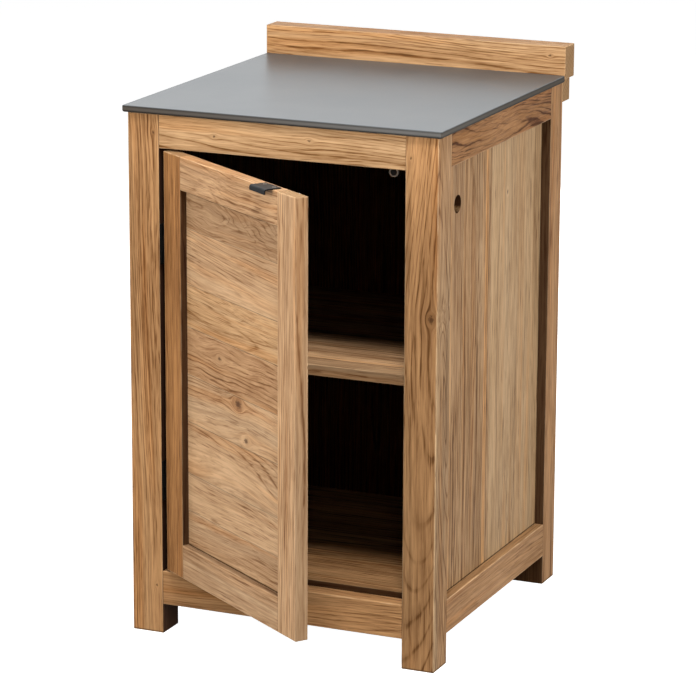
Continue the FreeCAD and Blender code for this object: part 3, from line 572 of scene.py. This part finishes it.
# the door boards, from the bottom to the top
doorBoards = [
    {"tone": 0.2, "figure": 0.35, "curl": 0.01},
    {"figure": 0.4},
    {"figure": 0.8, "sway": 0.12, "heart": (0.1, 0.03, 0.05)},
    {"tone": 0.02, "figure": 0.7, "curl": 0.012, "light": 1.0,
     "knots": [(0.014, 0.03, 0.013), (0.041, -0.026, 0.01)]},
    {"tone": 0.15, "figure": 0.9, "curl": 0.016, "warmth": 0.3, "light": 0.97,
     "knots": [(-0.05, 0.01, 0.007)]},
    {"tone": 0.08, "figure": 0.5, "tones": "golden", "light": 1.0},
    {"tone": -0.02, "figure": 0.7, "tilt": 3.0, "light": 1.04},
    {"tone": 0.16, "figure": 0.55, "curl": 0.02, "ringWidth": 0.0032, "heart": (0.1, 0.0, 0.04),
     "light": 0.94},
]
doorBoardFinish = {"tones": "tan", "sway": 0.08, "heart": (0.06, 0.03, 0.05), "streaks": 0.5, "light": 1.06}
doorLines = {"lowEnd": (0.003, 0.8), "highEnd": (0.0026, 0.4), "joint": (0.0013, 0.4),
             "outer": (0.0034, 0.85)}
firstDoorSeed, doorSeedStep = 95, 4.3
for number, wood in enumerate(doorBoards, start=1):
    wood = {**doorBoardFinish, **wood, "darkAt": boardShadeAndJoints(number, len(doorBoards), doorLines)}
    teak(f"door_panel_board_{number}", "x", "z", firstDoorSeed + doorSeedStep * number, swings=True, **wood)
print("door dressed")

# painted light: light makes the shelf and the floor paler, in place of more lamp light
insidePieces = {
    "back_panel": {"grain": "z", "over": "x", "seed": 131.0},
    "shelf_panel": {"grain": "x", "over": "y", "seed": 137.0, "tones": "tan", "light": 1.15,
                    "staves": stripes((0, 0.2, 0.0), (74, -0.15, 0.2), (110, 0.4, 0.0), (133, 0.15, 0.1),
                                      (164, 0.3, 0.0), (273, 0.2, 0.0), (380, 0.1, 0.0),
                                      (470, 0.25, 0.0))},
    "floor_panel": {"grain": "x", "over": "y", "seed": 141.0, "light": 1.1,
                    "staves": stripes((0, 0.05, 0.0), (114, 0.25, 0.0), (205, 0.1, 0.0), (310, 0.2, 0.0),
                                      (420, 0.05, 0.0), (500, 0.15, 0.0)),
                    # painted shade darkens the floor's front edge
                    "darkAt": [darkBandAndShade(widthWay, -1)]},
}
for name, wood in insidePieces.items():
    teak(name, gloss=0.06, **wood)
cleatSeeds = {"left_shelf_cleat": 145.0, "right_shelf_cleat": 148.7, "left_floor_cleat": 152.4,
              "right_floor_cleat": 156.1}
for name, seed in cleatSeeds.items():
    teak(name, "y", "z", seed)


stoneFinish = {
    "dark": (66, 71, 74), "pale": (86, 92, 96), "roughness": 0.36,
    "grainScale": 900.0, "cloudScale": 9.0, "grainDepth": 0.0002,
    # the front edge is paler towards the right as painted highlight, and the side edge darker towards the rear as
    # painted shade
    "frontEdge": ((78, 71, 64), (99, 97, 94)),    # at its left and its right end
    "sideEdge": ((84, 79, 73), (62, 55, 46)),    # at its front and its rear end
    "edgeBands": [(0.0, 0.42), (0.26, 0.46), (0.4, 1.0), (0.66, 1.0), (0.8, 0.5), (1.0, 0.55)],
}


def makeStone():
    # the slab is dark grey with a satin skin on top, and its edges are warmer and duller, with painted highlight
    # and painted shade on them
    material, tree, surface = newMaterial("stoneGreySlab")
    coordinates = addNode(tree, "ShaderNodeTexCoord").outputs
    here = coordinates["Object"]
    grain = noise(tree, here, stoneFinish["grainScale"])
    cloud = noise(tree, here, stoneFinish["cloudScale"], 4.0)
    fineGrain, softCloud = centred(tree, grain), centred(tree, cloud)
    tone = sums(tree, "ADD", total(tree, (fineGrain, 0.8), (softCloud, 0.9)), 0.5)
    skin = mixed(tree, tone, screenColour(*stoneFinish["dark"]), screenColour(*stoneFinish["pale"]))

    # the edge has three bands, and the two at its rounded arrises are darker with painted shade
    low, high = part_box("worktop_slab")
    at = parts(tree, here)
    height = sums(tree, "DIVIDE", sums(tree, "SUBTRACT", at[2], low.z), high.z - low.z)
    bands = ramp(tree, height, stoneFinish["edgeBands"])
    edgeColours = []
    for kind, way in (("frontEdge", 0), ("sideEdge", 1)):
        first, last = (screenColour(*colours) for colours in stoneFinish[kind])
        edgeColours.append(mixed(tree, smooth(tree, at[way], low[way], high[way]), first, last))
    facing = parts(tree, coordinates["Normal"])
    sideways = smooth(tree, sums(tree, "ABSOLUTE", facing[0]), 0.3, 0.8)
    edgeWithPaintedLight = mixed(tree, 1.0, mixed(tree, sideways, *edgeColours), bands, "MULTIPLY")
    onEdge = smooth(tree, facing[2], 0.3, 0.9, 1.0, 0.0)
    rough = sums(tree, "ADD", total(tree, (softCloud, 0.1), (fineGrain, 0.1), (onEdge, 0.4)),
                 stoneFinish["roughness"])
    coat(tree, surface, mixed(tree, onEdge, skin, edgeWithPaintedLight), rough, grain, 0.15, stoneFinish["grainDepth"])
    return material


metals = {
    "blackPaintedSteel": {"colour": (14, 15, 17), "metallic": 0.0, "roughness": 0.4, "gloss": 0.16,
                          "grainScale": 2400.0, "grainDepth": 0.00008},
    "brightNickel": {"colour": (206, 204, 200), "metallic": 1.0, "roughness": 0.42, "gloss": 0.5,
                     "grainScale": 1500.0, "grainDepth": 0.00003},
    "screwSteel": {"colour": (170, 168, 162), "metallic": 1.0, "roughness": 0.34, "gloss": 0.5,
                   "grainScale": 1800.0, "grainDepth": 0.00004},
    "magnetGrey": {"colour": (26, 26, 27), "metallic": 0.4, "roughness": 0.45, "gloss": 0.5,
                   "grainScale": 1500.0, "grainDepth": 0.00006},
    "blackHingeSteel": {"colour": (14, 13, 12), "metallic": 0.0, "roughness": 0.62, "gloss": 0.06,
                        "grainScale": 1800.0, "grainDepth": 0.00006},
}


def makeMetal(name):
    metal = metals[name]
    material, tree, surface = newMaterial(name)
    here = addNode(tree, "ShaderNodeTexCoord").outputs["Object"]
    grain = noise(tree, here, metal["grainScale"], 3.0)
    smear = noise(tree, here, 60.0, 3.0)
    colour = screenColour(*metal["colour"])[:3]
    dark, pale = ([value * share for value in colour] + [1] for share in (0.75, 1.25))
    shown = mixed(tree, sums(tree, "ADD", centred(tree, smear, 0.9), 0.5), dark, pale)
    rough = sums(tree, "ADD", total(tree, (centred(tree, smear), 0.25), (centred(tree, grain), 0.15)),
                 metal["roughness"])
    coat(tree, surface, shown, rough, grain, 0.3, metal["grainDepth"])
    surface.inputs["Metallic"].default_value = metal["metallic"]
    surface.inputs["Specular IOR Level"].default_value = metal["gloss"]
    return material


dress(nodes["worktop_slab"], makeStone())
finished = {name: makeMetal(name) for name in metals}
for name, node in nodes.items():
    if name == "door_pull":
        dress(node, finished["blackPaintedSteel"])
    elif name.startswith("hinge") or name == "catch_plate":
        dress(node, finished["blackHingeSteel"])
    elif name in ("catch_cup", "door_strike"):
        dress(node, finished["brightNickel"])
    elif name.endswith("screws"):
        dress(node, finished["screwSteel"])
dress(nodes["catch_magnet"], finished["magnetGrey"])
print("stone and metal dressed")

# The studio
scene = bpy.context.scene
scene.view_settings.view_transform = "Standard"

studioFloor = {"size": 60, "colour": (0.6, 0.6, 0.6, 1), "glow": 0.98}
bpy.ops.mesh.primitive_plane_add(size=studioFloor["size"], location=(0, 0, cadBox[0].z))
floor = bpy.context.object
floor.name = "studioFloor"
paleFloor, tree, surface = newMaterial("paleFloor")
surface.inputs["Base Color"].default_value = studioFloor["colour"]
surface.inputs["Roughness"].default_value = 1.0
surface.inputs["Specular IOR Level"].default_value = 0.0
surface.inputs["Emission Color"].default_value = white
surface.inputs["Emission Strength"].default_value = studioFloor["glow"]
dress(floor, paleFloor)
floor.visible_diffuse = False    # the floor lights nothing from below
floor.visible_glossy = False

# the camera sees plain white, and gloss sees most light at the rear and least in front
skyGlow = {"front": 0.35, "rear": 1.4, "below": 0.6, "left": 1.16}
world = bpy.data.worlds.new("studioWhite")
scene.world = world
world.use_nodes = True
sky = world.node_tree
background = sky.nodes["Background"]
rays = addNode(sky, "ShaderNodeLightPath").outputs
heading = parts(sky, addNode(sky, "ShaderNodeTexCoord").outputs["Generated"])
glow = sums(sky, "MULTIPLY", smooth(sky, heading[1], -0.3, 0.3, skyGlow["front"], skyGlow["rear"]),
            smooth(sky, heading[2], -0.08, 0.08, skyGlow["below"], 1.0))
glow = sums(sky, "MULTIPLY", glow, smooth(sky, heading[0], -0.46, -0.3, skyGlow["left"], 1.0))
glow = sums(sky, "MULTIPLY", glow, rays["Is Glossy Ray"])
feed(sky, background.inputs["Strength"], sums(sky, "MAXIMUM", rays["Is Camera Ray"], glow))
background.inputs["Color"].default_value = white

# of the lamps in front and to the right none lights the walls inside,
# and only the key lamp and the low lamp light the panels
wallPieces = [name for name in nodes
              if name.startswith(("left_side", "left_shelf", "left_floor", "right_shelf", "right_floor",
                                  "back_panel", "rear_left", "left_top", "left_bottom", "rear_top",
                                  "rear_bottom"))]
panelPieces = ["shelf_panel", "floor_panel"]


def pieceSet(name, pieces, state="INCLUDE"):
    gathered = bpy.data.collections.new(name)
    for piece in pieces:
        gathered.objects.link(nodes[piece])
    for link in gathered.collection_objects:
        link.light_linking.link_state = state
    return gathered


notWalls = pieceSet("notTheWalls", wallPieces, "EXCLUDE")
notInside = pieceSet("notInside", wallPieces + panelPieces, "EXCLUDE")
onlyPanels = pieceSet("onlyThePanels", panelPieces)

# no light is thrown about inside the cabinet
for name, node in nodes.items():
    if name.startswith(("shelf", "floor", "door", "right", "back", "left", "rear", "catch", "hinge")):
        node.visible_diffuse = False

cabinetMiddle = Vector((0, 0, 0.5))
lamps = {
    "keyLamp": {"azimuth": 24, "elevation": 63, "distance": 2.6, "size": 0.55, "power": 48,
                "lights": notWalls, "mirrored": True},
    "frontLeftLamp": {"azimuth": -36, "elevation": 16, "distance": 3.4, "size": 2.2, "power": 66,
                      "lights": notInside},
    "frontRightLamp": {"azimuth": 26, "elevation": 16, "distance": 3.4, "size": 2.2, "power": 58,
                       "lights": notInside},
    "rightLamp": {"azimuth": 85, "elevation": 14, "distance": 3.6, "size": 2.4, "power": 73,
                  "lights": notInside},
    "lowLamp": {"azimuth": 26, "elevation": 2, "distance": 3.0, "size": 0.5, "power": 9,
                "lights": onlyPanels, "mirrored": True},
    "leftLamp": {"azimuth": -100, "elevation": 18, "distance": 3.6, "size": 2.4, "power": 66},
    "rearLamp": {"azimuth": 180, "elevation": 12, "distance": 3.6, "size": 2.4, "power": 86},
}


def outward(azimuth, elevation):
    turn, rise = math.radians(azimuth), math.radians(elevation)
    return Vector((math.sin(turn) * math.cos(rise), -math.cos(turn) * math.cos(rise), math.sin(rise)))


for name, lamp in lamps.items():
    way = outward(lamp["azimuth"], lamp["elevation"])
    bpy.ops.object.light_add(type="AREA", location=cabinetMiddle + way * lamp["distance"])
    made = bpy.context.object
    made.name = name
    made.data.size = lamp["size"]
    made.data.energy = lamp["power"]
    made.rotation_euler = way.to_track_quat("Z", "Y").to_euler()
    made.visible_camera = False
    made.visible_glossy = lamp.get("mirrored", False)
    # or else a lamp shines through the pieces that throw no light about
    made.data.cycles.use_multiple_importance_sampling = False
    if "lights" in lamp:
        made.light_linking.receiver_collection = lamp["lights"]

# The camera stands where the photographer stood
photoView = {"place": (2.40916, -5.44473, 2.04081), "azimuth": 23.469, "elevation": 14.452, "roll": 0.253,
             "lens": 179.35, "sensor": 36.0}
bpy.ops.object.camera_add()
camera = bpy.context.object
back = outward(photoView["azimuth"], photoView["elevation"])
right = Vector((0, 0, 1)).cross(back).normalized()
up = back.cross(right)
lean = math.radians(photoView["roll"])
columns = (right * math.cos(lean) + up * math.sin(lean), up * math.cos(lean) - right * math.sin(lean), back)
stand = Matrix(columns).transposed().to_4x4()
stand.translation = photoView["place"]
camera.matrix_world = stand
camera.data.lens = photoView["lens"]
camera.data.sensor_width = photoView["sensor"]
scene.camera = camera

print("studio ready")
